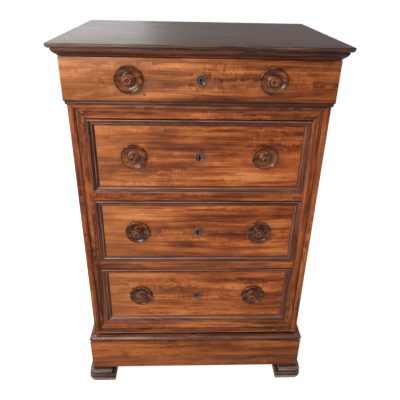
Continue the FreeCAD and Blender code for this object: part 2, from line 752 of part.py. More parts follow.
def make_drawer(name, z, height, face_y, thickness, framed):
    """One drawer: front, box, knobs, escutcheon and lock."""
    bottom = z + s.gapBelow
    top = z + height - s.gapAbove
    middle = z + height / 2
    back = face_y + thickness
    box_top = top - s.boxDrop
    box_end = box_end_y
    half = box_out if framed else side_out + s.friezeReach
    groove_z = (bottom + s.bottomRise, bottom + s.bottomRise + s.boxBottom + s.grooveClearance)

    side_height = box_top - bottom
    side = box((-box_out, -box_in), (back, box_end), (bottom, box_top))
    if framed:
        joints = []
        for row in tails(back, bottom, side_height, s.tailClearance):
            tail = prism("YZ_Plane", row, s.boxSide)
            place(tail, -box_out, 0, 0)
            joints.append(tail)
    else:
        wide = (-box_out - s.housingFlare, -box_in + s.housingFlare)
        deep = back - s.housing + s.tailClearance
        tongue = prism("XY_Plane", [(-box_out, back), (wide[0], deep), (wide[1], deep),
                                    (-box_in, back)], side_height)
        place(tongue, 0, 0, bottom)
        joints = [tongue]
    back_y_span = (box_end - s.boxBackInset - s.boxBack, box_end - s.boxBackInset)
    grooves = [
        box((-box_in - s.groove, -box_in + OVERCUT), (back - s.groove, box_end + OVERCUT), groove_z),
        box((-box_in - s.groove, -box_in + OVERCUT), back_y_span, (groove_z[1], box_top + OVERCUT))]
    left = cut(fuse([side] + joints), grooves)
    sub_part(f"{name}_drawer_sides", group([left, mirrored(left)]))

    board = box(across(half), (face_y, back), (bottom, top))
    past_back = back + OVERCUT
    tools = [box(across(panel_half + s.grooveClearance), (back - s.groove, past_back), groove_z)]
    sockets = []
    if framed:
        for row in tails(back, bottom, side_height, as_size(0)):
            row[0] = (past_back, row[0][1])
            row[3] = (past_back, row[3][1])
            socket = prism("YZ_Plane", row, s.boxSide + OVERCUT)
            place(socket, -box_out - OVERCUT, 0, 0)
            sockets.append(socket)
    else:
        deep = back - s.housing
        play = s.tailClearance
        socket = prism("XY_Plane", [
            (-box_out - play, past_back), (-box_out - s.housingFlare - play, deep),
            (-box_in + s.housingFlare + play, deep), (-box_in + play, past_back)],
            side_height + OVERCUT)
        place(socket, 0, 0, bottom - OVERCUT)
        sockets.append(socket)
    for socket in sockets:
        tools += [socket, mirrored(socket)]
    for x in (-s.knobSpacing / 2, s.knobSpacing / 2):
        hole = cylinder_y(s.tenonRadius + s.tenonClearance, (face_y - OVERCUT, past_back), x, middle)
        tools.append(hole)
    case_x = across(s.lockWidth / 2)
    case_z = (middle - s.lockHeight / 2, middle + s.lockHeight / 2)
    tools.append(keyhole((face_y - OVERCUT, past_back), as_size(0), middle))
    tools.append(box(loose(case_x), (back - s.lockDepth, past_back), loose(case_z)))
    bolt_x, bolt_y = across(s.boltWidth / 2), bolt_span_y(back)
    tools.append(box(loose(bolt_x), (bolt_y[0] - s.lockClearance, past_back), (middle, top + OVERCUT)))
    cover_x = across(s.coverWidth / 2)
    tools.append(box(loose(cover_x), (back - s.coverThickness, past_back), (middle, top + OVERCUT)))
    sub_part(f"{name}_drawer_front", cut(board, tools))

    if framed:
        wide, deep = s.mouldingWidth, s.mouldingDepth
        section = [
            (0, 0), (0, -wide), (-deep * 0.12, -wide),
            (-deep * 0.5, -wide * 0.64, -wide * 0.05), (-deep * 0.5, -wide * 0.52),
            (-deep, -s.mouldingFillet, wide * 0.06), (-deep, 0)]
        ring = mitred_ring(section, wide, box_out, panel_y, (bottom, top))
        sub_part(f"{name}_drawer_moulding", ring)
    sub_part(f"{name}_drawer_back", box(
        across(panel_half), back_y_span, (groove_z[1], box_top - s.boxBackDrop)))
    panel_y_span = (back - s.groove + s.grooveClearance, box_end)
    panel_z = (groove_z[0], groove_z[0] + s.boxBottom)
    sub_part(f"{name}_drawer_bottom", box(across(panel_half), panel_y_span, panel_z))
    pair = [knob(thickness, x, face_y, middle) for x in (-s.knobSpacing / 2, s.knobSpacing / 2)]
    sub_part(f"{name}_drawer_knobs", group(pair))
    sub_part(f"{name}_escutcheon", escutcheon(face_y, middle))

    case = box(case_x, (back - s.lockDepth, back), case_z)
    cover = box(cover_x, (back - s.coverThickness, back), (case_z[1], top - s.lockClearance))
    channel = box(loose(bolt_x), loose(bolt_y), (case_z[0] - OVERCUT, top))
    pin = cylinder_y(s.keyPinRadius, (face_y + s.escutcheonHeight, back - s.lockDepth + OVERCUT),
                     as_size(0), middle)
    sub_part(f"{name}_lock_case", fuse([cut(fuse([case, cover]), [channel]), pin]))
    sub_part(f"{name}_lock_bolt", box(bolt_x, bolt_y, (middle - s.boltTail, top - s.gapBelow)))


make_carcass()
make_frame()
make_top()
make_plinth()
make_feet()
make_runners()
frieze_thickness = frieze_back_y() - frieze_y
make_drawer("frieze", frieze_z, s.friezeHeight, frieze_y, frieze_thickness, False)
make_drawer("upper", upper_z, s.openingHeight, panel_y, s.frontThickness, True)
make_drawer("middle", middle_z, s.openingHeight, panel_y, s.frontThickness, True)
make_drawer("lower", lower_z, s.openingHeight, panel_y, s.frontThickness, True)
doc.recompute()

failed = [item.Label for item in doc.Objects if "Invalid" in item.State or "Error" in item.State]
for piece in sub_parts:
    if piece.Shape.isNull() or not piece.Shape.isValid():
        failed.append(piece.Label)
if failed:
    raise RuntimeError("failed: " + ", ".join(failed))
os.makedirs("parts", exist_ok=True)
for piece in sub_parts:
    piece.Shape.exportStep(f"parts/{piece.Label}.step")
print(len(sub_parts), "sub-parts written")
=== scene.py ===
import json
import math

import bpy
from mathutils import Matrix, Vector


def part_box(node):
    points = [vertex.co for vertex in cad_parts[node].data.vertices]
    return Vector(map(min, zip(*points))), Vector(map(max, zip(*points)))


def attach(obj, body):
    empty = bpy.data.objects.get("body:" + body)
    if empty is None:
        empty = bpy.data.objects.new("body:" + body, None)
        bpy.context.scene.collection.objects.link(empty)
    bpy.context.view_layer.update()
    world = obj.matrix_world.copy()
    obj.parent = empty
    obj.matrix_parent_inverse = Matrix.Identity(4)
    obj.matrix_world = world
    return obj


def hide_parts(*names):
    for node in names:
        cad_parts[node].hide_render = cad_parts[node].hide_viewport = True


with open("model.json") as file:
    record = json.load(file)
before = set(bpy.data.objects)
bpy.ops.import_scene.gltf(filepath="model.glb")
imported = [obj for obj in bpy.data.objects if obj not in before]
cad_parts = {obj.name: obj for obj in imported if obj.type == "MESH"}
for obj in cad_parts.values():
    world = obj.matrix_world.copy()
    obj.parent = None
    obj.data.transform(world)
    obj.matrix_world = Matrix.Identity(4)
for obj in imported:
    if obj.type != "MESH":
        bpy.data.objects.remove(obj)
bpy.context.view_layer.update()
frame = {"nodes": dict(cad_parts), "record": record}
nodes = frame["nodes"]
drawers = ("frieze", "upper", "middle", "lower")
framedDrawers = drawers[1:]
print("frame loaded:", len(nodes), "nodes")


# Shader maths: a wire is one output socket, and sums of wires add their Math nodes

class Wire:
    def __init__(self, tree, socket):
        self.tree = tree
        self.socket = socket

    def math(self, operation, *others):
        node = self.tree.nodes.new("ShaderNodeMath")
        node.operation = operation
        for slot, value in zip(node.inputs, (self,) + others):
            plug(self.tree, value, slot)
        return Wire(self.tree, node.outputs[0])

    def __add__(self, other):
        return self.math("ADD", other)

    def __mul__(self, other):
        return self.math("MULTIPLY", other)

    def __sub__(self, other):
        return self.math("SUBTRACT", other)

    def __rsub__(self, other):
        return (self * -1) + other

    def __abs__(self):
        return self.math("ABSOLUTE")

    __radd__ = __add__
    __rmul__ = __mul__

    def over(self, low, high):  # 0 below low, 1 above high, smooth between
        node = self.tree.nodes.new("ShaderNodeMapRange")
        node.interpolation_type = "SMOOTHSTEP"
        for slot, value in zip(node.inputs, (self, low, high, 0, 1)):
            plug(self.tree, value, slot)
        return Wire(self.tree, node.outputs[0])

    def under(self, low, high):  # 1 below low, 0 above high
        return 1 - self.over(low, high)

    def within(self, low, rise, fall, high):  # 1 from rise to fall, 0 below low and above high
        return self.over(low, rise) * self.under(fall, high)


def plug(tree, value, slot):
    if isinstance(value, Wire):
        tree.links.new(value.socket, slot)
    elif value is not None:
        slot.default_value = value


class Finish:
    def __init__(self, name):
        self.material = bpy.data.materials.new(name)
        self.material.use_nodes = True
        self.tree = self.material.node_tree
        self.tree.nodes.clear()
        self.place = self.node("TexCoord", output="Object")
        parts = self.node("SeparateXYZ", {}, {"Vector": self.place}, output=None)
        self.x, self.y, self.z = (Wire(self.tree, slot) for slot in parts.outputs)

    def node(self, kind, settings=(), values=(), output=0):
        node = self.tree.nodes.new("ShaderNode" + kind)
        for key, value in dict(settings).items():
            if key == "stops":
                while len(node.color_ramp.elements) < len(value):
                    node.color_ramp.elements.new(0.5)
                for element, (spot, colour) in zip(node.color_ramp.elements, value):
                    element.position = spot
                    element.color = colour + (1,)
            else:
                setattr(node, key, value)
        for key, value in dict(values).items():
            plug(self.tree, value, node.inputs[key])
        return node if output is None else Wire(self.tree, node.outputs[output])

    def vector(self, x, y, z):
        return self.node("CombineXYZ", {}, {0: x, 1: y, 2: z})

    def noise(self, vector, scale=1, detail=3, roughness=0.5):
        return self.node("TexNoise", {}, {
            "Vector": vector, "Scale": scale, "Detail": detail, "Roughness": roughness})

    def mix(self, factor, first, second, blend="MIX"):
        return self.node("Mix", {"data_type": "RGBA", "blend_type": blend},
                         {0: factor, 6: colour4(first), 7: colour4(second)}, output=2)

    def ramp(self, factor, tones):  # evenly spread, from the darkest
        last = len(tones) - 1
        stops = [(index / last, colour4(tone)[:3]) for index, tone in enumerate(tones)]
        return self.node("ValToRGB", {"stops": stops}, {0: factor})

    def bump(self, height, distance, strength):
        return self.node("Bump", {}, {
            "Strength": strength, "Distance": distance, "Height": height})

    def shade(self, colour, roughness, normal, **constants):
        shader = self.node("BsdfPrincipled", {}, {
            "Base Color": colour, "Roughness": roughness, "Normal": normal}, output=None)
        for key, value in constants.items():
            shader.inputs[key.replace("_", " ")].default_value = value
        end = self.node("OutputMaterial", output=None)
        self.tree.links.new(shader.outputs[0], end.inputs[0])
        return self.material


def colour4(colour):
    if isinstance(colour, tuple):
        return tuple(linear(channel) for channel in colour) + (1,)
    return colour


def linear(channel):  # from the 0 to 255 that a colour picker shows
    share = channel / 255
    return share / 12.92 if share <= 0.04045 else ((share + 0.055) / 1.055) ** 2.4


# Woods: tones run from the darkest streak to the palest

friezeWood = {
    "tones": ((80, 38, 20), (110, 58, 30), (142, 79, 39), (172, 101, 52), (196, 130, 74)),
    "lift": 0.0, "contrast": 4.6, "seed": 3.1, "wave": 0.03, "figure": 1.0, "scale": 1.0,
    "rough": 0.4, "shine": 0.17}
panelWood = {
    "tones": ((88, 40, 21), (122, 60, 30), (158, 84, 41), (187, 109, 56), (211, 141, 85)),
    "lift": 0.0, "contrast": 4.3, "seed": 5.3, "wave": 0.03, "figure": 1.0, "scale": 1.0,
    "rough": 0.4, "shine": 0.18}
frameWood = {
    "tones": ((66, 30, 17), (98, 48, 27), (134, 70, 38), (164, 90, 48), (192, 116, 64)),
    "lift": 0.01, "contrast": 4.2, "seed": 7.7, "wave": 0.015, "figure": 0.8, "scale": 1.2,
    "rough": 0.4, "shine": 0.14}
stripWood = {
    "tones": ((50, 25, 18), (84, 43, 28), (118, 63, 40), (144, 81, 50), (168, 104, 66)),
    "lift": 0.0, "contrast": 4.6, "seed": 11.3, "wave": 0.015, "figure": 0.2, "scale": 1.5,
    "rough": 0.42, "shine": 0.18}
mouldingWood = {
    "tones": ((40, 21, 16), (66, 35, 25), (94, 51, 35), (118, 69, 47), (144, 92, 66)),
    "lift": 0.0, "contrast": 4.2, "seed": 17.9, "wave": 0.015, "figure": 0.1, "scale": 1.8,
    "rough": 0.34, "shine": 0.25}
topWood = {
    "tones": ((38, 27, 24), (56, 39, 33), (74, 51, 42), (92, 64, 52), (114, 82, 66)),
    "lift": 0.0, "contrast": 4.6, "seed": 23.9, "wave": 0.02, "figure": 0.1, "scale": 1.0,
    "rough": 0.46, "shine": 0.14}
# the cove under the frieze drawer is set darker than the moulding wood: painted shade
coveWood = dict(mouldingWood, seed=19.1, lift=-0.03)
torusWood = dict(mouldingWood, seed=20.3, lift=0.01, rough=0.26, shine=0.6)
plinthWood = {
    "tones": ((84, 42, 25), (118, 62, 34), (152, 84, 42), (174, 102, 52), (194, 122, 66)),
    "lift": 0.0, "contrast": 3.4, "seed": 29.3, "wave": 0.03, "figure": 0.6, "scale": 1.0,
    "rough": 0.44, "shine": 0.12}
footWood = {
    "tones": ((34, 25, 22), (52, 38, 32), (76, 57, 48), (102, 79, 67), (130, 103, 88)),
    "lift": 0.0, "contrast": 3.8, "seed": 31.7, "wave": 0.02, "figure": 0.1, "scale": 1.4,
    "rough": 0.38, "shine": 0.3}
innerWood = {
    "tones": ((112, 76, 47), (140, 99, 62), (166, 122, 80), (186, 144, 99), (204, 164, 120)),
    "lift": 0.0, "contrast": 3.4, "seed": 37.1, "wave": 0.02, "figure": 0.1, "scale": 1.2,
    "rough": 0.62, "shine": 0.2}
# very dark boards for the rails and case parts that show in the gaps: painted shade for the
# shadow in those gaps
shadedCaseWood = {
    "tones": ((26, 14, 11), (38, 20, 15), (50, 27, 19), (64, 36, 25), (80, 48, 34)),
    "lift": 0.0, "contrast": 3.4, "seed": 43.1, "wave": 0.02, "figure": 0.1, "scale": 1.2,
    "rough": 0.6, "shine": 0.1}

grains = {  # repeats per metre along and across, how far the seed moves it, and its noise
    "sway": (2.3, 5, 1, {"detail": 2}),
    "calm": (4.5, 20, -1, {"detail": 1}),
    "saw": (170, 30, -1, {"detail": 1}),
    "steps": (34, 46, 1, {"detail": 1}),
    "bands": (2.4, 28, 1, {"detail": 2}),
    "ribbons": (4.5, 80, -1, {"detail": 2}),
    "others": (7, 70, -2.3, {"detail": 2}),
    "streaks": (8, 330, 1, {"detail": 4, "roughness": 0.65}),
    "clouds": (13, 21, -3.1, {"detail": 4, "roughness": 0.65}),
    "pores": (70, 1500, -1, {"detail": 2, "roughness": 0.6}),
    "ticks": (190, 48, 1, {"detail": 1})}

grainLook = {
    "seedStep": 1.37,
    "calm": (0.42, 0.58), "steps": (0.46, 0.54), "ribbons": (0.36, 0.64), "pores": (0.56, 0.74),
    "sawReach": 0.007, "steady": 0.35, "patchSway": 0.12, "patch": 0.6, "tick": 0.11,
    "tone": {"bands": 0.28, "ribbons": 0.09, "streaks": 0.3, "clouds": 0.16, "base": 0.085},
    "poreTone": 0.03, "ribbonRough": 0.25, "poreRough": 0.1,
    "streakHeight": 0.5, "poreDepth": 0.4, "relief": 0.0005, "reliefStrength": 0.4}


def grainOf(finish, along):
    order = {"X": (finish.x, finish.z, finish.y), "Y": (finish.y, finish.z, finish.x),
             "Z": (finish.z, finish.x, finish.y)}
    return order[along]


def wood(name, look, along, seed, patches=(), paint=None):
    # patches are soft ovals of lighter or darker figure: along, across, their halves, amount
    finish = Finish(name)
    length, across, depth = grainOf(finish, along)
    shift = look["seed"] + seed * grainLook["seedStep"]
    share = grainLook["tone"]

    def grain(kind, scale=1):
        perLength, perAcross, turn, settings = grains[kind]
        perAcross = perAcross * scale
        return finish.noise(finish.vector(
            length * perLength + shift * turn, across * perAcross, depth * perAcross), **settings)

    sway = grain("sway") - 0.5
    calm = grain("calm").over(*grainLook["calm"])
    saw = grain("saw") - 0.5
    across = (across + sway * look["wave"]
              + saw * calm * (grainLook["sawReach"] * look["figure"]))
    steps = grain("steps").over(*grainLook["steps"])
    steps = steps * (grainLook["steady"] + (1 - grainLook["steady"]) * calm)
    bands, ribbons, others, streaks = (
        grain(kind, look["scale"]) for kind in ("bands", "ribbons", "others", "streaks"))
    ribbons = ribbons + (others - ribbons) * steps  # the figure breaks off in blunt steps
    clouds = grain("clouds")
    pores = grain("pores").over(*grainLook["pores"])
    ticks = (grain("ticks") - 0.5) * calm
    tone = (bands * share["bands"] + ribbons.over(*grainLook["ribbons"]) * share["ribbons"]
            + streaks * share["streaks"] + clouds * share["clouds"] + share["base"])
    swayed = length + sway * grainLook["patchSway"]
    for atLength, atAcross, long, high, amount in patches:
        far, off = (swayed - atLength) * (1 / long), (across - atAcross) * (1 / high)
        oval = ((far * far + off * off) * -1).math("EXPONENT")
        tone = tone + oval * (amount * grainLook["patch"])
    tone = tone + ticks * (grainLook["tick"] * look["figure"]) - pores * grainLook["poreTone"]
    colour = finish.ramp((tone - 0.5 + look["lift"]) * look["contrast"] + 0.5, look["tones"])
    if paint:
        colour = paint(finish, colour, streaks)
    rough = ((ribbons - 0.5) * grainLook["ribbonRough"] + pores * grainLook["poreRough"]
             + look["rough"])
    height = streaks * grainLook["streakHeight"] - pores * grainLook["poreDepth"]
    normal = finish.bump(height, grainLook["relief"], grainLook["reliefStrength"])
    return finish.shade(colour, rough, normal, Specular_IOR_Level=look["shine"])


woods = {}


def woodFor(look, along="X", seed=0):  # one material for all boards of a look and direction
    key = (look["seed"], along, seed)
    if key not in woods:
        woods[key] = wood("wood%02d" % len(woods), look, along, seed)
    return woods[key]


# Softened boards: a copy of each board with its sharp arrises rubbed round

softEdge = {
    "width": 0.0009, "segments": 2, "angle": 28, "smooth": 40, "weld": 0.00001, "flat": 0.4,
    "probe": 0.0001,
    "finer": {"top_board": 0.0005, "frieze_cove": 0.0005, "_feet": 0.0008,
              "_escutcheon": 0.00025, "_lock_case": 0.0004, "_lock_bolt": 0.0004}}


def activate(piece):
    bpy.ops.object.select_all(action="DESELECT")
    piece.select_set(True)
    bpy.context.view_layer.objects.active = piece


def edgeWidth(node):
    for ending, width in softEdge["finer"].items():
        if node.endswith(ending):
            return width
    return softEdge["width"]


def rubArrises(piece, width):
    activate(piece)
    bpy.ops.object.mode_set(mode="EDIT")
    bpy.ops.mesh.select_all(action="SELECT")
    bpy.ops.mesh.remove_doubles(threshold=softEdge["weld"])
    bpy.ops.mesh.dissolve_limited(angle_limit=math.radians(softEdge["flat"]))
    bpy.ops.object.mode_set(mode="OBJECT")
    bevel = piece.modifiers.new("arris", "BEVEL")
    bevel.width = width
    bevel.segments = softEdge["segments"]
    bevel.limit_method = "ANGLE"
    bevel.angle_limit = math.radians(softEdge["angle"])
    bevel.use_clamp_overlap = True
    bpy.ops.object.modifier_apply(modifier="arris")
    bpy.ops.object.shade_smooth_by_angle(angle=math.radians(softEdge["smooth"]))


def keepFaces(piece, keep):
    bpy.ops.object.mode_set(mode="EDIT")
    bpy.ops.mesh.select_all(action="DESELECT")
    bpy.ops.object.mode_set(mode="OBJECT")
    for face in piece.data.polygons:
        face.select = face.index not in keep
    bpy.ops.object.mode_set(mode="EDIT")
    bpy.ops.mesh.delete(type="FACE")
    bpy.ops.object.mode_set(mode="OBJECT")


def bodyOf(node):
    for body, members in frame["record"]["behaviour"]["bodies"].items():
        if node in members:
            return body


def softened(node, finishes, partOf=None):
    # finishes gives a material for each part that partOf names, by a point just inside it
    mesh = nodes[node].data
    parts = {}
    for face in mesh.polygons:
        inside = face.center - face.normal * softEdge["probe"]
        key = partOf(inside) if partOf else "all"
        parts.setdefault(key, set()).add(face.index)
    made = []
    for key, keep in sorted(parts.items()):
        piece = bpy.data.objects.new("soft." + node, mesh.copy())
        bpy.context.scene.collection.objects.link(piece)
        activate(piece)
        if piece.data.has_custom_normals:
            bpy.ops.mesh.customdata_custom_splitnormals_clear()
        if len(parts) > 1:
            keepFaces(piece, keep)
        rubArrises(piece, edgeWidth(node))
        piece.data.materials.clear()
        piece.data.materials.append(finishes[key])
        made.append(piece)
    piece = made[0]
    activate(piece)
    if len(made) > 1:
        for other in made[1:]:
            other.select_set(True)
        bpy.ops.object.join()
    piece.name = "soft." + node
    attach(piece, bodyOf(node))
    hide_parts(node)


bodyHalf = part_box("side_right")[1].x
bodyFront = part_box("side_left")[0].y


def roundTheBody(point):  # front, left or right, by the mitres at the front corners
    ahead = bodyFront - point.y
    beside = abs(point.x) - bodyHalf
    if ahead > beside:
        return "front"
    return "left" if point.x < 0 else "right"


def ringPart(low, high):  # the nearest of the four sides, so by the mitres of a frame
    def partOf(point):
        reach = {"left": point.x - low.x, "right": high.x - point.x,
                 "bottom": point.z - low.z, "top": high.z - point.z}
        return min(reach, key=reach.get)
    return partOf


def skirt(look, seed=0, front=None):
    return {"front": front or woodFor(look, "X", seed), "left": woodFor(look, "Y", seed),
            "right": woodFor(look, "Y", seed + 1)}


figured = {  # where the broad light and dark figure lies on each show board; a few patches are painted light, noted below
    "frieze": (
        (-0.271, 1.0715, 0.097, 0.0220, 0.05), (0.034, 1.0920, 0.147, 0.0072, 0.06),
        (-0.048, 1.0755, 0.123, 0.0061, -0.10), (0.180, 1.0656, 0.100, 0.0149, 0.05),
        (0.064, 1.0557, 0.062, 0.0075, -0.06), (0.058, 1.0070, 0.153, 0.0130, -0.10),
        (-0.131, 1.0090, 0.045, 0.0103, 0.06), (0.286, 1.0504, 0.063, 0.0357, 0.04),
        (0.286, 1.0206, 0.057, 0.0104, -0.05), (-0.197, 1.0925, 0.072, 0.0072, -0.05)),
    "upper": (
        (-0.195, 0.8966, 0.080, 0.0258, 0.05), (0.014, 0.9032, 0.075, 0.0114, 0.08),
        (-0.097, 0.8735, 0.054, 0.0353, -0.09), (0.048, 0.8453, 0.094, 0.0271, -0.07),
        (0.243, 0.8316, 0.039, 0.0369, -0.07), (0.178, 0.7692, 0.114, 0.0256, 0.08),
        (0.037, 0.7617, 0.051, 0.0048, -0.14), (-0.202, 0.7622, 0.084, 0.0254, 0.04),
        (-0.043, 0.8095, 0.055, 0.0184, -0.05), (0.212, 0.9050, 0.068, 0.0086, -0.05)),
    "middle": (
        (-0.195, 0.6417, 0.082, 0.0312, 0.07), (0.026, 0.6361, 0.095, 0.0210, -0.09),
        (-0.063, 0.5407, 0.043, 0.0224, -0.10), (0.063, 0.5771, 0.061, 0.0182, -0.08),
        (0.209, 0.5276, 0.094, 0.0266, 0.045), (-0.176, 0.5162, 0.104, 0.0151, 0.06),
        (-0.093, 0.6070, 0.060, 0.0178, -0.04), (0.233, 0.6536, 0.048, 0.0279, -0.04)),
    "lower": (
        (-0.225, 0.3723, 0.064, 0.0588, 0.06), (-0.016, 0.3638, 0.078, 0.0294, -0.10),
        (0.105, 0.3382, 0.053, 0.0171, -0.09), (0.192, 0.4103, 0.097, 0.0164, -0.05),
        (0.186, 0.2760, 0.115, 0.0223, 0.07), (-0.142, 0.2795, 0.119, 0.0176, 0.05),
        (-0.118, 0.3507, 0.058, 0.0168, -0.05), (0.259, 0.3405, 0.033, 0.0432, -0.05)),
    "plinth": (
        (-0.225, 0.1231, 0.136, 0.0485, 0.03), (-0.099, 0.1527, 0.061, 0.0189, -0.05),
        (0.038, 0.1268, 0.069, 0.0389, -0.05), (0.197, 0.0835, 0.142, 0.0199, -0.06),
        # the broad darker patch at the plinth's right end is painted shade
        (0.31, 0.118, 0.09, 0.09, -0.08), (-0.237, 0.1113, 0.014, 0.0145, -0.10),
        (0.249, 0.1553, 0.090, 0.0239, 0.02)),
    # painted shade over the left border, strongest at its outer edge; a painted lit patch on the
    # right border; painted shade low on the left stile
    "border_left": ((0.6, -0.32, 0.6, 0.1, -0.01), (0.42, -0.34, 0.45, 0.012, -0.09)),
    "border_right": ((0.6, 0.32, 0.6, 0.1, 0.06),),
    "frame_left": ((0.34, -0.31, 0.16, 0.05, -0.07), (0.6, -0.31, 0.7, 0.1, -0.03)),
    "frame_right": ((0.60, 0.31, 0.12, 0.05, -0.05), (0.85, 0.31, 0.10, 0.05, 0.04)),
    "frame_bottom": ((0.02, 0.224, 0.16, 0.020, 0.08), (-0.25, 0.224, 0.05, 0.020, -0.06))}

# Paints: each takes a finish, its colour and its streaks, and gives the colour back with wear,
# painted shade and painted highlight.
# A pair of numbers is where a change begins and ends. A four rises over the first two and
# falls over the last two.

# dirtAndShade: painted shade in gaps, quirks, hollows and on board ends in the gaps, and real
# dirt in the top's stain
dirtAndShade = (30, 13, 9)
# litEdge: a painted highlight over rubbed wear, on moulding crests and the border's lower edge
litEdge = (206, 144, 114)

frameWear = {
    "border": (0.00088, 0.00308), "mitre": (0.0005, 0.0016), "dirtAndShade": 0.8,
    "gap": (0.0017, 0.0034), "gapNodes": ("frame_top", "upper_rail", "lower_rail")}


def framePaint(node):  # painted shade along the border's edge and in the gaps under the rails, and a dark line in the mitres
    outerLow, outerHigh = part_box("frame_left")[0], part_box("frame_right")[1]
    middle, half = (outerLow + outerHigh) / 2, (outerHigh - outerLow) / 2
    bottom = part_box(node)[0].z

    def paint(finish, colour, streaks):
        insideX = half.x - abs(finish.x - middle.x)
        insideZ = half.z - abs(finish.z - middle.z)
        # painted shade: the shadow line where the proud border steps down to the frame
        waxAndShade = insideX.math("MINIMUM", insideZ).under(*frameWear["border"])
        if node.startswith("frame_"):  # the rails between drawers have no mitres
            waxAndShade = waxAndShade.math("MAXIMUM", abs(insideX - insideZ).under(*frameWear["mitre"]))
        if node in frameWear["gapNodes"]:
            # painted shade along the rail's lower edge, in the gap above the drawer below
            colour = finish.mix((finish.z - bottom).under(*frameWear["gap"]), colour, dirtAndShade)
        return finish.mix(waxAndShade * frameWear["dirtAndShade"], colour, dirtAndShade)
    return paint


marks = {  # old holes, knots and scratches: place, half width, half height, lean
    "frieze": ((-0.1427, 1.0121, 0.0026, 0.0026, 0), (0.236, 1.0115, 0.0012, 0.0012, 0)),
    "middle": ((-0.0252, 0.5443, 0.0019, 0.0095, 0.6), (0.0955, 0.5190, 0.0016, 0.0014, 0)),
    "lower": ((-0.1169, 0.3749, 0.0018, 0.0085, -0.45), (0.158, 0.3070, 0.0014, 0.0012, 0)),
    "plinth": ((-0.2420, 0.1138, 0.0030, 0.0028, 0), (0.0340, 0.1237, 0.0042, 0.0016, 0))}
markWear = {"colour": (44, 20, 13), "edge": (0.5, 1.6), "depth": 0.85}


def markPaint(board):
    def paint(finish, colour, streaks):
        for atX, atZ, wide, high, lean in marks.get(board, ()):
            up = finish.z - atZ
            off = (finish.x - atX - up * lean) * (1 / wide)
            up = up * (1 / high)
            spot = (off * off + up * up).under(*markWear["edge"])
            colour = finish.mix(spot * markWear["depth"], colour, markWear["colour"])
        return colour
    return paint


frontWear = {
    "paleSheen": (158, 96, 55), "paleSheenAcross": (-0.30, 0.02), "paleSheenAmount": 0.42,
    "rightShade": (240, 208, 186), "rightShadeAcross": (-0.05, 0.3), "rightShadeAmount": 0.6,
    "topEdge": (0.0004, 0.001), "dirtAndShade": 0.85}


def frontPaint(board, node):  # painted sheen on the left, painted shade deeper and redder on the right, painted shade along the top edge
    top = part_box(node)[1].z

    def paint(finish, colour, streaks):
        # painted sheen: a paler tone over the left of each front
        paleSheen = finish.x.under(*frontWear["paleSheenAcross"]) * frontWear["paleSheenAmount"]
        colour = finish.mix(paleSheen, colour, frontWear["paleSheen"])
        # painted shade: the right of each front made deeper and redder
        rightShade = finish.x.over(*frontWear["rightShadeAcross"]) * frontWear["rightShadeAmount"]
        colour = finish.mix(rightShade, colour, frontWear["rightShade"], "MULTIPLY")
        colour = markPaint(board)(finish, colour, streaks)
        # painted shade along the top edge, where the gap under the rail lies
        edge = (top - finish.z).under(*frontWear["topEdge"])
        return finish.mix(edge * frontWear["dirtAndShade"], colour, dirtAndShade)
    return paint


mouldingWear = {  # by the distance in from the moulding's outer edge
    "fillet": (0.0003, 0.0008, 0.0026, 0.0032), "bead": (0.0106, 0.0114, 0.0132, 0.0142),
    "quirk": (0.0028, 0.0034, 0.0042, 0.006), "hollow": (0.0084, 0.0096, 0.0104, 0.0112),
    "foot": (0.0148, 0.0172), "streaks": (0.3, 0.6), "across": (-0.2, 0.25), "lessRight": 0.55,
    "rubbedAndLit": 0.9, "dirtAndShade": 0.6,
    # painted highlight shares for each side's bead and fillet, by how that side faces the light
    "beadShare": {"top": 0.1, "bottom": 1, "left": 0.4, "right": 0.35},
    "filletShare": {"top": 1, "bottom": 0.6, "left": 0.3, "right": 0.3}}


def mouldingPaint(low, high, side):  # the crests get a painted highlight over rubbed wear, less to the right; the quirks and hollows get dirt and painted shade
    middle, half = (low + high) / 2, (high - low) / 2

    def paint(finish, colour, streaks):
        inside = (half.x - abs(finish.x - middle.x)).math(
            "MINIMUM", half.z - abs(finish.z - middle.z))
        # painted highlight on the crests, fading towards the right
        rightwards = finish.x.over(*mouldingWear["across"])
        wornAndLit = streaks.over(*mouldingWear["streaks"]) * (
            1 - rightwards * mouldingWear["lessRight"])
        fillet = inside.within(*mouldingWear["fillet"]) * mouldingWear["filletShare"][side]
        bead = inside.within(*mouldingWear["bead"]) * mouldingWear["beadShare"][side]
        crests = fillet.math("MAXIMUM", bead) * wornAndLit * mouldingWear["rubbedAndLit"]
        colour = finish.mix(crests, colour, litEdge)
        # dirt and painted shade in the quirk, the hollow and the foot
        quirk = inside.within(*mouldingWear["quirk"])
        hollow = inside.within(*mouldingWear["hollow"])
        foot = inside.over(*mouldingWear["foot"])
        hollowDirtAndShade = quirk.math("MAXIMUM", hollow).math("MAXIMUM", foot)
        return finish.mix(hollowDirtAndShade * mouldingWear["dirtAndShade"], colour, dirtAndShade)
    return paint


footWear = {  # by height above the floor
    "slabTan": (186, 146, 122), "slab": (0.010, 0.0135), "slabStreaks": (0.3, 0.6),
    "beadWornAndLit": (180, 152, 136), "bead": (0.0345, 0.0365, 0.0388, 0.0398),
    "beadStreaks": (0.36, 0.6), "beadRubbedAndLit": 0.6,
    "paintedShade": (22, 17, 15), "hollow": (0.0125, 0.014, 0.0175, 0.0195),
    "groove": (0.0285, 0.0295, 0.0315, 0.0325), "neck": (0.0395, 0.042), "amount": 0.75}


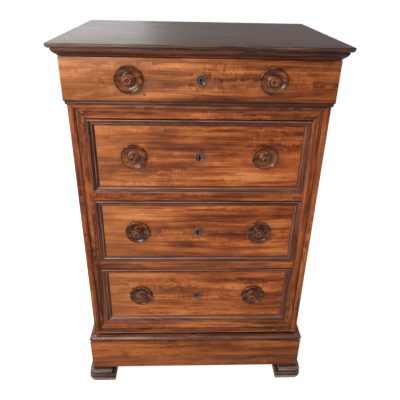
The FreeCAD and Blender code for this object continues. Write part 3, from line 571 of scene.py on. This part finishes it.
def footPaint(finish, colour, streaks):  # the slab's edge is rubbed to tan, the bead gets a painted highlight over wear, and the hollow, groove and neck get painted shade
    z, amount = finish.z, footWear["amount"]
    tan = z.under(*footWear["slab"]) * streaks.over(*footWear["slabStreaks"])
    colour = finish.mix(tan * amount, colour, footWear["slabTan"])
    # painted shade in the hollow and the groove
    hollows = z.within(*footWear["hollow"]).math("MAXIMUM", z.within(*footWear["groove"]))
    colour = finish.mix(hollows * amount, colour, footWear["paintedShade"])
    # painted highlight over wear on the bead
    bead = z.within(*footWear["bead"]) * streaks.over(*footWear["beadStreaks"])
    colour = finish.mix(bead * footWear["beadRubbedAndLit"], colour, footWear["beadWornAndLit"])
    # painted shadow of the plinth board over the neck
    return finish.mix(z.over(*footWear["neck"]) * amount, colour, footWear["paintedShade"])


sideWear = {"gap": (0.0014, 0.003), "dirtAndShade": 0.9}


def sidePaint(finish, colour, streaks):  # painted shade on the ends of the side boards where they show in the gaps
    gap = (finish.y - bodyFront).under(*sideWear["gap"])
    return finish.mix(gap * sideWear["dirtAndShade"], colour, dirtAndShade)


topWear = {
    "arris": (150, 118, 98), "arrisDepth": (0.002, 0.016), "arrisStreaks": (0.46, 0.62),
    "arrisWorn": 0.5,
    "paintedSheen": (136, 124, 118), "sheenAcross": (-0.34, -0.02), "sheenBack": (-0.2, 0.2),
    "sheenStreaks": (0.2, 0.7), "sheenAmount": 0.3,
    "stainAt": (0.3618, -0.2067), "stainPerMetre": (60, 90), "stainEdge": (0.2, 1.2),
    "stained": 0.6}


def topPaint(finish, colour, streaks):  # worn front arris, a painted sheen on the left, one stain
    near = (finish.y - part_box("top_board")[0].y).under(*topWear["arrisDepth"])
    wornAndLit = near * streaks.over(*topWear["arrisStreaks"]) * topWear["arrisWorn"]
    colour = finish.mix(wornAndLit, colour, topWear["arris"])
    # painted sheen: a pale grey over the left of the top
    paintedSheen = finish.x.under(*topWear["sheenAcross"]) * finish.y.under(*topWear["sheenBack"])
    paintedSheen = paintedSheen * streaks.over(*topWear["sheenStreaks"]) * topWear["sheenAmount"]
    colour = finish.mix(paintedSheen, colour, topWear["paintedSheen"])
    (atX, atY), (perX, perY) = topWear["stainAt"], topWear["stainPerMetre"]
    off, away = (finish.x - atX) * perX, (finish.y - atY) * perY
    stain = (off * off + away * away).under(*topWear["stainEdge"])
    return finish.mix(stain * topWear["stained"], colour, dirtAndShade)


stripWear = {"edge": (0.0024, 0.0044), "streaks": (0.36, 0.5), "rubbedAndLit": 0.7}


def stripPaint(finish, colour, streaks):  # the lower edge of the border: a painted highlight over rubbed wear
    edge = (finish.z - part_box("border_strip")[0].z).under(*stripWear["edge"])
    lit = edge * streaks.over(*stripWear["streaks"])
    return finish.mix(lit * stripWear["rubbedAndLit"], colour, litEdge)


softened("top_board", {"all": wood("topBoard", topWood, "X", 0, (), topPaint)})
softened("top_moulding", skirt(mouldingWood), roundTheBody)
softened("frieze_cove", skirt(coveWood, 2), roundTheBody)
softened("plinth_moulding", skirt(torusWood, 4), roundTheBody)
plinthFront = wood("plinthFront", plinthWood, "X", 3, figured["plinth"], markPaint("plinth"))
softened("plinth_boards", skirt(plinthWood, 0, plinthFront), roundTheBody)
softened("border_strip", {
    "top": woodFor(stripWood),
    "bottom": wood("borderFoot", stripWood, "X", 1, (), stripPaint),
    "left": wood("borderLeft", frameWood, "Z", 8, figured["border_left"]),
    "right": wood("borderRight", frameWood, "Z", 9, figured["border_right"])},
    ringPart(*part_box("border_strip")))
softened("frieze_sides", {"all": woodFor(friezeWood, "Y", 5)})
softened("side_left", {"all": wood("sideLeft", plinthWood, "Z", 6, (), sidePaint)})
softened("side_right", {"all": wood("sideRight", plinthWood, "Z", 7, (), sidePaint)})
frameBoards = (  # node and the way its grain runs
    ("frame_left", "Z"), ("frame_right", "Z"), ("frame_top", "X"), ("frame_bottom", "X"),
    ("upper_rail", "X"), ("lower_rail", "X"))
for index, (node, along) in enumerate(frameBoards):
    softened(node, {"all": wood(
        node, frameWood, along, index, figured.get(node, ()), framePaint(node))})
for index, drawer in enumerate(drawers):
    node = drawer + "_drawer_front"
    look = panelWood if drawer in framedDrawers else friezeWood
    softened(node, {"all": wood(
        "front" + str(index), look, "X", 10 * index, figured[drawer], frontPaint(drawer, node))})
print("boards softened")


# Applied mouldings: a plate inset again and again, so that its corners are mitred

moulding = {
    "lip": 0.00035, "smooth": 32, "plateFacing": 0.9, "plateArea": 0.01,
    # a tone lift for each side of the ring: the left member is set darker as painted shade, its
    # slope facing away from the light
    "lift": {"top": 0.02, "bottom": 0.02, "left": -0.03, "right": 0.02},
    "steps": (  # width in from the last step and drop from it, in millimetres
        (0.4, -0.35), (2.5, 0), (0.35, 0.8), (1.1, 0.5), (1.5, 1.35), (1.5, 1.25), (1.5, 0.75),
        (1.1, 0.2), (0.5, -0.35), (0.5, -0.75), (0.7, -0.45), (0.7, -0.05), (0.7, 0.5),
        (0.5, 0.85), (0.5, 0.9), (1.2, 1.2), (1.6, 1.0), (1.2, 0.75))}


def mouldingRing(name, low, high):
    bpy.ops.object.select_all(action="DESELECT")
    middle = (low + high) / 2
    bpy.ops.mesh.primitive_plane_add(
        size=1, location=(middle.x, high.y, middle.z), rotation=(math.radians(90), 0, 0))
    piece = bpy.context.object
    bpy.ops.object.mode_set(mode="EDIT")
    bpy.ops.mesh.select_mode(type="FACE")
    bpy.ops.mesh.select_all(action="SELECT")
    bpy.ops.transform.resize(value=(high.x - low.x, 1, high.z - low.z))
    rise = high.y - low.y - moulding["lip"]
    bpy.ops.mesh.extrude_region_move(TRANSFORM_OT_translate={"value": (0, -rise, 0)})
    for width, drop in moulding["steps"]:
        bpy.ops.mesh.inset(thickness=width / 1000, depth=-drop / 1000, use_even_offset=True)
    bpy.ops.mesh.delete(type="FACE")
    bpy.ops.object.mode_set(mode="OBJECT")
    for face in piece.data.polygons:  # the plate's back, which the extrusion left
        face.select = (abs(face.normal.z) > moulding["plateFacing"]
                       and face.area > moulding["plateArea"])
    bpy.ops.object.mode_set(mode="EDIT")
    bpy.ops.mesh.delete(type="ONLY_FACE")
    bpy.ops.mesh.select_mode(type="EDGE")
    bpy.ops.mesh.select_non_manifold()
    bpy.ops.mesh.bridge_edge_loops()
    bpy.ops.mesh.select_all(action="SELECT")
    bpy.ops.mesh.normals_make_consistent(inside=False)
    bpy.ops.object.mode_set(mode="OBJECT")
    bpy.ops.object.transform_apply(location=True, rotation=True, scale=True)
    bpy.ops.object.shade_smooth_by_angle(angle=math.radians(moulding["smooth"]))
    piece.name = name
    return piece


sides = ("top", "bottom", "left", "right")
for index, drawer in enumerate(framedDrawers):
    node = drawer + "_drawer_moulding"
    low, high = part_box(node)
    piece = mouldingRing("moulding." + drawer, low, high)
    for turn, (side, along) in enumerate(zip(sides, "XXZZ")):
        look = dict(mouldingWood, lift=moulding["lift"][side])
        piece.data.materials.append(wood(
            drawer + "Moulding" + side, look, along, 10 + 4 * index + turn, (),
            mouldingPaint(low, high, side)))
    partOf = ringPart(low, high)
    for face in piece.data.polygons:
        face.material_index = sides.index(partOf(face.center))
    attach(piece, drawer + "_drawer")
    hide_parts(node)
print("mouldings made")


# Feet, and the boards that keep their own shape inside

footFinish = wood("footWood", footWood, "X", 0, (), footPaint)
for node in ("front_feet", "back_feet"):
    softened(node, {"all": footFinish})

hiddenNodes = {
    "carcass_top": shadedCaseWood, "back_panel": innerWood, "bottom_board": shadedCaseWood,
    "plinth_rail": shadedCaseWood, "frieze_rail": shadedCaseWood, "drawer_runners": innerWood,
    "drawer_guides": innerWood, "drawer_stops": innerWood}


def keptBoard(node, material):
    mesh = nodes[node].data
    mesh.materials.clear()
    mesh.materials.append(material)


for node, look in hiddenNodes.items():
    keptBoard(node, woodFor(look))
for drawer in drawers:
    for part, along in (("sides", "Y"), ("back", "X"), ("bottom", "X")):
        keptBoard("%s_drawer_%s" % (drawer, part), woodFor(innerWood, along, 3))
print("feet and inner boards finished")


# Turned knobs: a disc drawn out of the board step by step, as on a lathe

knob = {
    "turns": 64, "rim": 0.036, "high": 0.02, "tenon": 0.009, "smooth": 50,
    "steps": (  # height off the board and radius, in millimetres
        (0.2, 34), (1.2, 35.2), (3.4, 36), (5.6, 36.1), (7.4, 35.4), (8.4, 34.4), (8.5, 33.5),
        (7.9, 32.8), (6.9, 32), (6.2, 31), (5.1, 28.8), (4.2, 26.6), (3.6, 24.6), (3.2, 22.4),
        (2.95, 20.2), (2.75, 18.2), (2.9, 16.6), (4, 15.2), (6.4, 13.7), (9, 12.9),
        (10.6, 13.3), (11.7, 14.5), (13, 15.4), (14.2, 15), (14.8, 13.4), (14.6, 11.6),
        (14.4, 10.4), (15, 9.6), (16.6, 9.4), (18.4, 9.3), (19.6, 8.6), (20, 7.6),
        (19.9, 6.5), (19.2, 5.5), (17.2, 4.6), (16.2, 3.6), (16.2, 2.6), (17, 1.8),
        (17.2, 0.8))}


def turnedKnob(centre, back):
    bpy.ops.object.select_all(action="DESELECT")
    bpy.ops.mesh.primitive_circle_add(
        vertices=knob["turns"], radius=knob["tenon"], fill_type="NGON",
        location=(centre.x, back, centre.z), rotation=(math.radians(90), 0, 0))
    piece = bpy.context.object
    bpy.ops.object.mode_set(mode="EDIT")
    bpy.ops.mesh.select_mode(type="FACE")
    bpy.ops.mesh.select_all(action="SELECT")
    bpy.ops.mesh.extrude_region_move(
        TRANSFORM_OT_translate={"value": (0, centre.y - back, 0)})
    at, last = 0, knob["tenon"]
    for high, radius in knob["steps"]:
        high, radius = high / 1000, radius / 1000
        bpy.ops.mesh.extrude_region_move(TRANSFORM_OT_translate={"value": (0, at - high, 0)})
        bpy.ops.transform.resize(value=(radius / last, 1, radius / last))
        at, last = high, radius
    bpy.ops.mesh.select_mode(type="EDGE")
    bpy.ops.mesh.select_all(action="DESELECT")
    bpy.ops.mesh.select_non_manifold()
    bpy.ops.mesh.edge_face_add()
    bpy.ops.mesh.select_all(action="SELECT")
    bpy.ops.mesh.normals_make_consistent(inside=False)
    bpy.ops.object.mode_set(mode="OBJECT")
    bpy.ops.object.transform_apply(location=True, rotation=True, scale=True)
    turned = piece.modifiers.new("turned", "SUBSURF")
    turned.levels = turned.render_levels = 1
    bpy.ops.object.modifier_apply(modifier="turned")
    bpy.ops.object.shade_smooth_by_angle(angle=math.radians(knob["smooth"]))
    return piece


knobLook = {  # grooves and crests: radius and half width
    "wood": ((62, 29, 17), (106, 54, 28), (154, 88, 41)), "tone": 3.4, "lift": -0.36,
    "waxAndShadeTone": (30, 15, 10), "wornAndLit": (176, 118, 90), "seedStep": 2.3, "deepStep": 0.12,
    "swirl": (30, 90, 60), "swirlShare": 0.8, "rings": (700, 300), "ringShare": 0.2,
    "rough": 0.2, "ringRough": 0.08, "roughRings": (0.45, 0.7),
    "shine": 0.24, "coat": 0.12, "coatRough": 0.1, "relief": 0.0002, "reliefStrength": 0.3,
    "grooves": ((0.0170, 0.0016), (0.0112, 0.0010)), "grooveCore": 0.4, "waxAndShade": 0.6,
    "pip": 0.0037, "pipEdge": (0.0004, 0.0012), "pipWaxAndShade": 0.8,
    "rim": (0.0316, 0.0326), "rimWaxAndShade": 0.5,
    "crests": ((0.0349, 0.0008), (0.0150, 0.0011), (0.0083, 0.0010)), "crestCore": 0.3,
    "rubbedAndLit": 0.6, "crestSwirl": (0.36, 0.56)}


def knobFinish(name, middle, seed, deep):  # the lower knobs are deeper in colour
    finish = Finish(name)
    out = abs(finish.x) - middle.x
    up = finish.z - middle.z
    radius = (out * out + up * up).math("SQRT")
    perOut, perUp, perDepth = knobLook["swirl"]
    swirl = finish.noise(finish.vector(out * perOut + seed, up * perUp, finish.y * perDepth))
    perRadius, perDepth = knobLook["rings"]
    rings = finish.noise(
        finish.vector(radius * perRadius + seed, finish.y * perDepth, seed), detail=2)
    tone = swirl * knobLook["swirlShare"] + rings * knobLook["ringShare"] + knobLook["lift"]
    colour = finish.ramp(tone * knobLook["tone"], knobLook["wood"])
    colour = finish.mix(deep, colour, knobLook["waxAndShadeTone"])
    # wax and painted shade: darker in the grooves, at the pip and over the outer rim
    for centre, half in knobLook["grooves"]:
        groove = abs(radius - centre).under(half * knobLook["grooveCore"], half)
        colour = finish.mix(groove * knobLook["waxAndShade"], colour, knobLook["waxAndShadeTone"])
    pip = abs(radius - knobLook["pip"]).under(*knobLook["pipEdge"])
    colour = finish.mix(pip * knobLook["pipWaxAndShade"], colour, knobLook["waxAndShadeTone"])
    rim = radius.over(*knobLook["rim"])
    colour = finish.mix(rim * knobLook["rimWaxAndShade"], colour, knobLook["waxAndShadeTone"])
    # a painted highlight over wear on the crests of the rim and the boss rings
    for centre, half in knobLook["crests"]:
        crest = abs(radius - centre).under(half * knobLook["crestCore"], half)
        crest = crest * swirl.over(*knobLook["crestSwirl"])
        colour = finish.mix(crest * knobLook["rubbedAndLit"], colour, knobLook["wornAndLit"])
    rough = rings.over(*knobLook["roughRings"]) * knobLook["ringRough"] + knobLook["rough"]
    normal = finish.bump(rings, knobLook["relief"], knobLook["reliefStrength"])
    return finish.shade(
        colour, rough, normal, Specular_IOR_Level=knobLook["shine"],
        Coat_Weight=knobLook["coat"], Coat_Roughness=knobLook["coatRough"])


def knobMiddle(drawer):  # of the right knob, in the plane of the drawer front
    low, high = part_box(drawer + "_drawer_knobs")
    return Vector((high.x - knob["rim"], low.y + knob["high"], (low.z + high.z) / 2))


patternMiddle = knobMiddle(drawers[0])
pattern = turnedKnob(patternMiddle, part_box(drawers[0] + "_drawer_knobs")[1].y)
for index, drawer in enumerate(drawers):
    middle = knobMiddle(drawer)
    pair = []
    for side in (-1, 1):
        place = Vector((side * middle.x, middle.y, middle.z))
        copy = pattern.copy()
        copy.data = pattern.data.copy()
        bpy.context.scene.collection.objects.link(copy)
        activate(copy)
        bpy.ops.transform.translate(value=place - patternMiddle)
        bpy.ops.object.transform_apply(location=True, rotation=False, scale=False)
        pair.append(copy)
    pair[0].select_set(True)
    bpy.ops.object.join()
    piece = bpy.context.object
    piece.name = "knobs." + drawer
    piece.data.materials.clear()
    piece.data.materials.append(knobFinish(
        "knobPolish" + str(index), middle, knobLook["seedStep"] * index,
        knobLook["deepStep"] * index))
    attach(piece, drawer + "_drawer")
    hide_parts(drawer + "_drawer_knobs")
bpy.data.objects.remove(pattern)
print("knobs turned")


# Keyhole discs and locks

discLook = {
    "tones": ((40, 27, 22), (74, 52, 43)), "rubbedAndLit": (150, 112, 94), "grain": 160,
    "rim": 0.0128, "rimEdge": (0.0006, 0.0018), "eye": 0.0062, "eyeEdge": (0.0005, 0.0014),
    "wornAndLit": 0.6, "rough": 0.2, "cloudRough": 0.12, "shine": 0.4,
    "relief": 0.0002, "reliefStrength": 0.3}
ironLook = {
    "tones": ((34, 31, 30), (66, 60, 57)), "rust": (70, 44, 32), "grain": 90,
    "rustGrain": 40, "rustEdge": (0.52, 0.64), "rusted": 0.6,
    "rough": 0.5, "rustRough": 0.25, "metal": 0.6, "relief": 0.0003, "reliefStrength": 0.5}
cloudTone = {"lift": -0.35, "contrast": 3}


def cloudRamp(finish, cloud, tones):
    return finish.ramp((cloud + cloudTone["lift"]) * cloudTone["contrast"], tones)


def discFinish(name, middle):
    finish = Finish(name)
    cloud = finish.noise(finish.place, discLook["grain"], detail=4)
    colour = cloudRamp(finish, cloud, discLook["tones"])
    out, up = finish.x - middle.x, finish.z - middle.z
    radius = (out * out + up * up).math("SQRT")
    # a painted highlight over wear on the rim and round the eye
    rim = abs(radius - discLook["rim"]).under(*discLook["rimEdge"])
    eye = abs(radius - discLook["eye"]).under(*discLook["eyeEdge"])
    wornAndLit = rim.math("MAXIMUM", eye * discLook["wornAndLit"]) * discLook["wornAndLit"]
    colour = finish.mix(wornAndLit, colour, discLook["rubbedAndLit"])
    rough = cloud * discLook["cloudRough"] + discLook["rough"]
    normal = finish.bump(cloud, discLook["relief"], discLook["reliefStrength"])
    return finish.shade(colour, rough, normal, Specular_IOR_Level=discLook["shine"])


def ironFinish():
    finish = Finish("lockIron")
    cloud = finish.noise(finish.place, ironLook["grain"], detail=5, roughness=0.6)
    colour = cloudRamp(finish, cloud, ironLook["tones"])
    rust = finish.noise(finish.place, ironLook["rustGrain"], detail=4)
    rust = rust.over(*ironLook["rustEdge"])
    colour = finish.mix(rust * ironLook["rusted"], colour, ironLook["rust"])
    rough = rust * ironLook["rustRough"] + ironLook["rough"]
    normal = finish.bump(cloud, ironLook["relief"], ironLook["reliefStrength"])
    return finish.shade(colour, rough, normal, Metallic=ironLook["metal"])


iron = ironFinish()
for drawer in drawers:
    node = drawer + "_escutcheon"
    low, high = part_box(node)
    softened(node, {"all": discFinish(drawer + "Keyhole", (low + high) / 2)})
    for part in ("_lock_case", "_lock_bolt"):
        softened(drawer + part, {"all": iron})
print("keyholes and locks finished")


# Floor, light and camera

studio = {
    "floorSize": 60, "floorColour": (190, 190, 190), "floorGlow": 0.86, "floorGloss": 0.25,
    "world": 0.3, "worldGloss": 0.6,
    "lamps": {  # place, what it points at, width and height, watts
        "window": ((-1.35, -1.25, 2.0), (0, -0.2, 0.6), (0.8, 0.8), 29),
        "key": ((-1.10, -2.87, 1.33), (-0.1, -0.2, 0.6), (1.0, 0.5), 35),
        "fill": ((1.6, -2.6, 1.2), (0, -0.2, 0.5), (1.6, 1.6), 5),
        "rear": ((-1.5, 2.1, 1.7), (-0.3, 0, 1.14), (2.6, 1.8), 36)}}
white = (1, 1, 1, 1)


def raysFor(tree):  # 1 for rays from the camera, and 1 for rays by way of a mirror or glass
    path = tree.nodes.new("ShaderNodeLightPath")
    seen, gloss, through = (Wire(tree, path.outputs["Is %s Ray" % kind])
                            for kind in ("Camera", "Glossy", "Transmission"))
    return seen, gloss.math("MAXIMUM", through)


def makeFloor():
    bpy.ops.mesh.primitive_plane_add(size=studio["floorSize"])
    floor = bpy.context.object
    floor.name = "floor"
    finish = Finish("floorPaper")
    paper = finish.node("BsdfDiffuse", {}, {"Color": colour4(studio["floorColour"])})
    seen, mirrored = raysFor(finish.tree)
    strength = seen * studio["floorGlow"] + mirrored * studio["floorGloss"]
    glow = finish.node("Emission", {}, {"Color": white, "Strength": strength})
    both = finish.node("AddShader", {}, {0: paper, 1: glow})
    finish.node("OutputMaterial", {}, {0: both}, output=None)
    floor.data.materials.append(finish.material)


def makeWorld():
    world = bpy.data.worlds.new("studio")
    bpy.context.scene.world = world
    world.use_nodes = True
    tree = world.node_tree
    tree.nodes.clear()
    back = tree.nodes.new("ShaderNodeBackground")
    seen, mirrored = raysFor(tree)
    strength = seen.math("MAXIMUM", mirrored * studio["worldGloss"])
    plug(tree, strength.math("MAXIMUM", studio["world"]), back.inputs["Strength"])
    back.inputs["Color"].default_value = white
    end = tree.nodes.new("ShaderNodeOutputWorld")
    tree.links.new(back.outputs[0], end.inputs[0])


def makeLamp(name, place, target, size, power):
    lamp = bpy.data.lights.new(name, "AREA")
    lamp.shape = "RECTANGLE"
    lamp.size, lamp.size_y = size
    lamp.energy = power
    holder = bpy.data.objects.new(name, lamp)
    holder.visible_camera = False
    bpy.context.scene.collection.objects.link(holder)
    holder.location = place
    aim = Vector(target) - Vector(place)
    holder.rotation_euler = aim.to_track_quat("-Z", "Y").to_euler()


viewpoint = {
    "place": (-0.03555, -1.26472, 1.28961), "pitch": 25.6601, "yaw": 2.4554, "roll": 1.3435,
    "lens": 37.26, "sensor": 36, "shift": (-0.00662, -0.06826)}


def makeCamera():
    pitch, yaw, roll = (math.radians(viewpoint[key]) for key in ("pitch", "yaw", "roll"))
    ahead = Vector((
        math.sin(yaw) * math.cos(pitch), math.cos(yaw) * math.cos(pitch), -math.sin(pitch)))
    level = Vector((math.cos(yaw), -math.sin(yaw), 0))
    upright = level.cross(ahead)
    right = level * math.cos(roll) + upright * math.sin(roll)
    up = upright * math.cos(roll) - level * math.sin(roll)
    lens = bpy.data.cameras.new("camera")
    lens.lens = viewpoint["lens"]
    lens.sensor_width = viewpoint["sensor"]
    lens.shift_x, lens.shift_y = viewpoint["shift"]
    camera = bpy.data.objects.new("camera", lens)
    bpy.context.scene.collection.objects.link(camera)
    turn = Matrix((right, up, -ahead)).transposed().to_4x4()
    camera.matrix_world = Matrix.Translation(viewpoint["place"]) @ turn
    bpy.context.scene.camera = camera


makeFloor()
makeWorld()
for name, settings in studio["lamps"].items():
    makeLamp(name, *settings)
makeCamera()
bpy.context.scene.view_settings.view_transform = "Standard"
print("floor, light and camera set")
